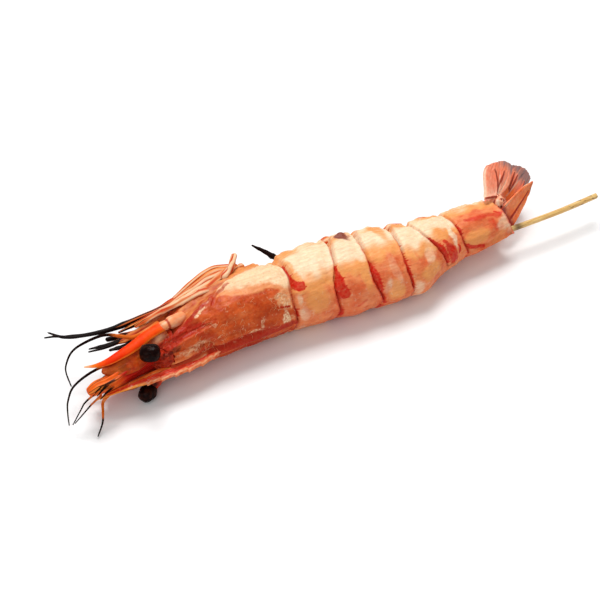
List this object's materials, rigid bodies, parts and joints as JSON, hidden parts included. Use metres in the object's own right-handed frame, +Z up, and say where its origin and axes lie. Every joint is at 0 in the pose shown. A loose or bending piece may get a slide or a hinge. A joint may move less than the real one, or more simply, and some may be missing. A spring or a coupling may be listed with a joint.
{
  "type": "grilled tiger prawn on a skewer",
  "caption": "Whole grilled tiger prawn with its head, legs and tail fan on, lying on its side and held straight by a thin bamboo skewer that comes out at the tail.",
  "frame": {"origin": "middle of the underside of the bounding box, on the table the prawn lies on", "axes": "+X along the body from the head to the tail and skewer, +Y from the back to the belly, +Z up from the left flank it lies on to the right flank"},
  "size_m": [0.2484, 0.0496, 0.0304],
  "materials": {
    "shell": "thin cooked shell, red orange with cream flanks, satin gloss",
    "flesh": "cooked flesh and membrane, moist satin",
    "tail_fan": "thin coral blades with grey purple tips, satin",
    "eye": "black, wet gloss",
    "head_limb": "orange red horny plates and stalks, satin gloss",
    "leg": "orange to cream at the root, charred black at the tip",
    "char": "charred black, dull",
    "bamboo": "dry split bamboo with a few scorched flecks"
  },
  "bodies": {
    "root": {"carapace": "shell", "thorax": "flesh", "tail_flesh": "flesh", "ring_1": "shell", "ring_2": "shell", "ring_3": "shell", "ring_4": "shell", "ring_5": "shell", "ring_6": "shell", "scale_right": "head_limb", "scale_left": "head_limb", "telson": "tail_fan", "uropod_right_outer": "tail_fan", "uropod_right_inner": "tail_fan", "uropod_left_outer": "tail_fan", "uropod_left_inner": "tail_fan", "fan_base_right": "tail_fan", "fan_base_left": "tail_fan", "eyestalk_right": "head_limb", "eyestalk_left": "head_limb", "antenna_base_right": "head_limb", "antennule_right": "head_limb", "antennule_left": "head_limb", "antenna_base_left": "head_limb", "eye_right": "eye", "eye_left": "eye", "leg_right_1": "leg", "leg_right_2": "leg", "leg_right_3": "leg", "leg_right_4": "leg", "leg_right_5": "leg", "leg_left_5": "leg", "mouthpart_right": "leg", "mouthpart_left": "leg", "leg_left_1": "leg", "leg_left_2": "leg", "leg_left_3": "leg", "leg_left_4": "leg", "antenna_right": "char", "antenna_left": "char", "feeler_1": "char", "feeler_2": "char", "feeler_3": "char", "swimmeret_right_1": "leg", "swimmeret_left_1": "leg", "swimmeret_right_2": "leg", "swimmeret_left_2": "leg", "swimmeret_right_3": "leg", "swimmeret_left_3": "leg", "swimmeret_right_4": "leg", "swimmeret_left_4": "leg", "swimmeret_right_5": "leg", "swimmeret_left_5": "leg", "charred_tip": "char", "skewer": "bamboo"}
  },
  "joints": []
}
